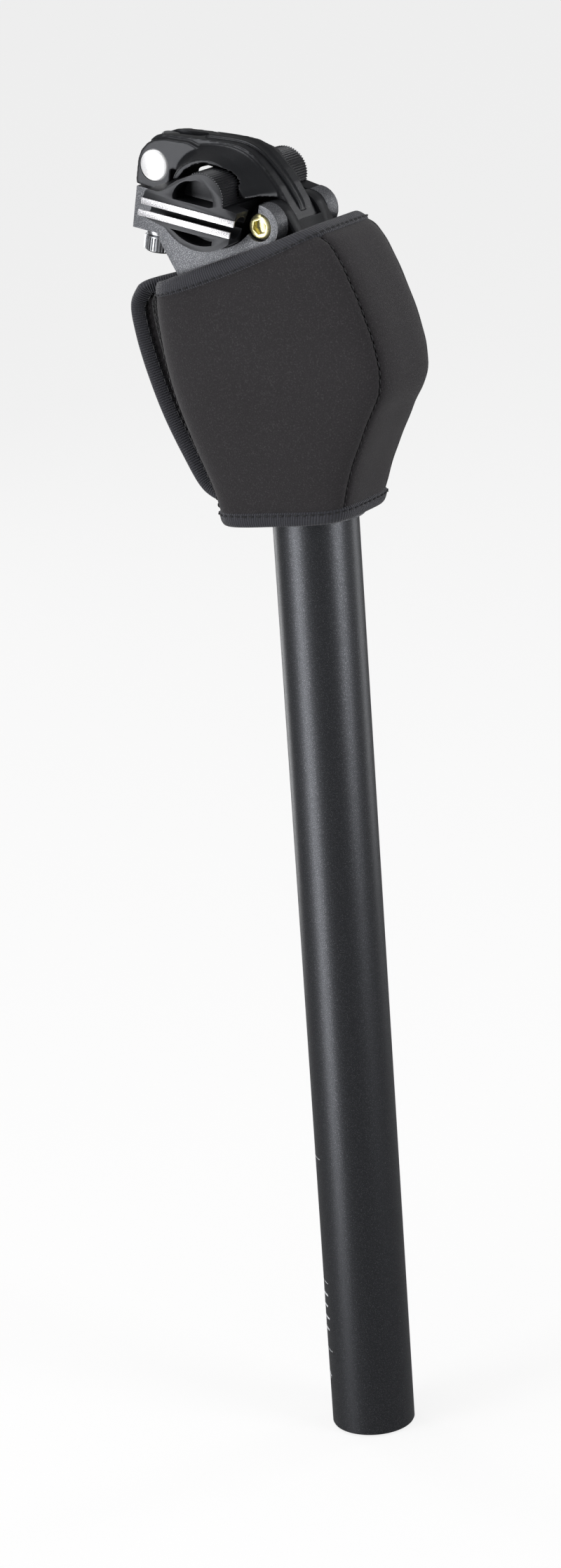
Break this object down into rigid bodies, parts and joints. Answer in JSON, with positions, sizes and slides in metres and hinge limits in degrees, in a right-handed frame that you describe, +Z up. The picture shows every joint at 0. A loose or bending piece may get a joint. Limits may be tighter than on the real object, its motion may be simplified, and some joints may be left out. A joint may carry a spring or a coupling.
{
  "type": "suspension seatpost",
  "caption": "Bicycle seatpost with a sprung parallelogram head, a tilting two-rail saddle clamp with a barrel-nut bolt, and a neoprene cover over the linkage.",
  "frame": {"origin": "centre of the tube's lower end", "axes": "+Z up along the tube, +X towards the front of the bicycle, +Y to its left"},
  "size_m": [0.1032, 0.052, 0.4285],
  "materials": {
    "anodised_black": "satin black anodised with a fine sparkle",
    "dark_forging": "satin dark grey anodised forging",
    "grey_forging": "sandblasted light grey anodised forging",
    "bright_nut": "bright turned end face",
    "steel": "turned steel",
    "zinc_yellow": "yellow passivated zinc plate",
    "polymer": "moulded acetal, matte",
    "bearing": "dry bearing lining, matt",
    "elastomer": "matt elastomer",
    "neoprene": "matt neoprene faced with knitted cloth",
    "webbing": "ribbed binding tape and hook-and-loop strip"
  },
  "bodies": {
    "post": {"post_tube": "anodised_black", "post_head": "grey_forging", "plunger_guide": "polymer", "main_spring": "steel", "front_lower_axle": "steel", "front_axle_screw": "steel", "front_axle_cap": "steel", "rear_lower_pin_left": "steel", "rear_lower_pin_right": "steel", "cover_near_panel": "neoprene", "cover_front_panel": "neoprene", "cover_far_panel": "neoprene", "cover_hem_binding": "webbing", "cover_flap_binding": "webbing", "closure_hook_strip": "webbing", "closure_loop_strip": "webbing"},
    "cover_top": {"cover_top_binding": "webbing"},
    "spring_seat": {"spring_seat": "polymer"},
    "preload_plug": {"preload_plug": "steel"},
    "plunger": {"plunger": "steel", "topout_bumper": "elastomer"},
    "front_link": {"front_link": "dark_forging", "front_upper_bush_left": "bearing", "front_upper_bush_right": "bearing", "front_lower_bush_left": "bearing", "front_lower_bush_right": "bearing", "roller_axle": "steel"},
    "roller": {"roller": "polymer"},
    "rear_link": {"rear_link": "dark_forging", "rear_upper_bush_left": "bearing", "rear_upper_bush_right": "bearing", "rear_lower_bush_left": "bearing", "rear_lower_bush_right": "bearing"},
    "bracket": {"clamp_bracket": "grey_forging", "front_upper_axle": "steel", "pivot_screw_left": "zinc_yellow", "pivot_screw_right": "zinc_yellow", "rear_upper_axle": "steel"},
    "saddle_clamp": {"upper_cradle": "dark_forging", "lower_cradle": "dark_forging"},
    "top_clamp": {"top_clamp": "dark_forging"},
    "barrel_nut": {"barrel_nut": "bright_nut"},
    "bolt_washer": {"bolt_washer": "steel"},
    "clamp_bolt": {"clamp_bolt": "steel"}
  },
  "joints": [
    {"name": "suspension_swing", "type": "hinge", "parent": "post", "child": "front_link", "pos_m": [0.022, 0, 0.357], "axis": [0, -1, 0], "range_deg": [0, 44], "stiffness_Nm_per_rad": 40, "springref_deg": -2.86, "deforming": ["cover_near_panel", "cover_front_panel", "cover_far_panel", "cover_flap_binding", "closure_hook_strip", "closure_loop_strip"]},
    {"name": "bracket_level", "type": "hinge", "parent": "front_link", "child": "bracket", "pos_m": [-0.0025, 0, 0.403], "axis": [0, -1, 0], "range_deg": [-44, 0]},
    {"name": "rear_link_swing", "type": "hinge", "parent": "post", "child": "rear_link", "pos_m": [-0.0025, 0, 0.333], "axis": [0, -1, 0], "range_deg": [0, 44]},
    {"name": "roller_spin", "type": "hinge", "parent": "front_link", "child": "roller", "pos_m": [0.00114, 0, 0.36543], "axis": [0, 1, 0], "continuous": true},
    {"name": "plunger_travel", "type": "slide", "parent": "post", "child": "plunger", "axis": [0, 0, -1], "range_m": [0, 0.017], "deforming": ["main_spring"]},
    {"name": "cover_top_travel", "type": "slide", "parent": "post", "child": "cover_top", "axis": [-0.6423, 0, -0.7665], "range_m": [0, 0.0365], "deforming": ["cover_top_binding"]},
    {"name": "preload_advance", "type": "slide", "parent": "post", "child": "spring_seat", "axis": [0, 0, 1], "range_m": [0, 0.008]},
    {"name": "preload_turn", "type": "hinge", "parent": "spring_seat", "child": "preload_plug", "pos_m": [0, 0, 0.0105], "axis": [0, 0, 1], "range_deg": [0, 1441]},
    {"name": "saddle_tilt", "type": "hinge", "parent": "bracket", "child": "saddle_clamp", "pos_m": [-0.01802, 0, 0.41251], "axis": [0, 1, 0], "range_deg": [-6, 6]},
    {"name": "top_clamp_open", "type": "hinge", "parent": "bracket", "child": "top_clamp", "pos_m": [-0.0025, 0, 0.403], "axis": [0, 1, 0], "range_deg": [0, 4.05]},
    {"name": "bolt_swing", "type": "hinge", "parent": "bracket", "child": "bolt_washer", "pos_m": [-0.04874, 0, 0.39831], "axis": [0, 1, 0], "range_deg": [0, 1.6]},
    {"name": "nut_turn", "type": "hinge", "parent": "top_clamp", "child": "barrel_nut", "pos_m": [-0.04449, 0, 0.41938], "axis": [0, 1, 0], "range_deg": [-2.6, 0]},
    {"name": "clamp_bolt_turn", "type": "hinge", "parent": "bolt_washer", "child": "clamp_bolt", "pos_m": [-0.04874, 0, 0.39831], "axis": [0.1977, 0, 0.9803], "range_deg": [0, 1080]}
  ],
  "couplings": [
    {"joint": "bracket_level", "follows": "suspension_swing", "ratio": -1},
    {"joint": "rear_link_swing", "follows": "suspension_swing", "ratio": 1},
    {"joint": "plunger_travel", "follows": "suspension_swing", "m_per_rad": 0.021951},
    {"joint": "cover_top_travel", "follows": "suspension_swing", "m_per_rad": 0.047},
    {"joint": "preload_turn", "follows": "preload_advance", "rad_per_m": 3141.6},
    {"joint": "top_clamp_open", "follows": "clamp_bolt_turn", "ratio": 0.0037037},
    {"joint": "bolt_swing", "follows": "clamp_bolt_turn", "ratio": 0.0014028},
    {"joint": "nut_turn", "follows": "clamp_bolt_turn", "ratio": -0.0023009}
  ]
}
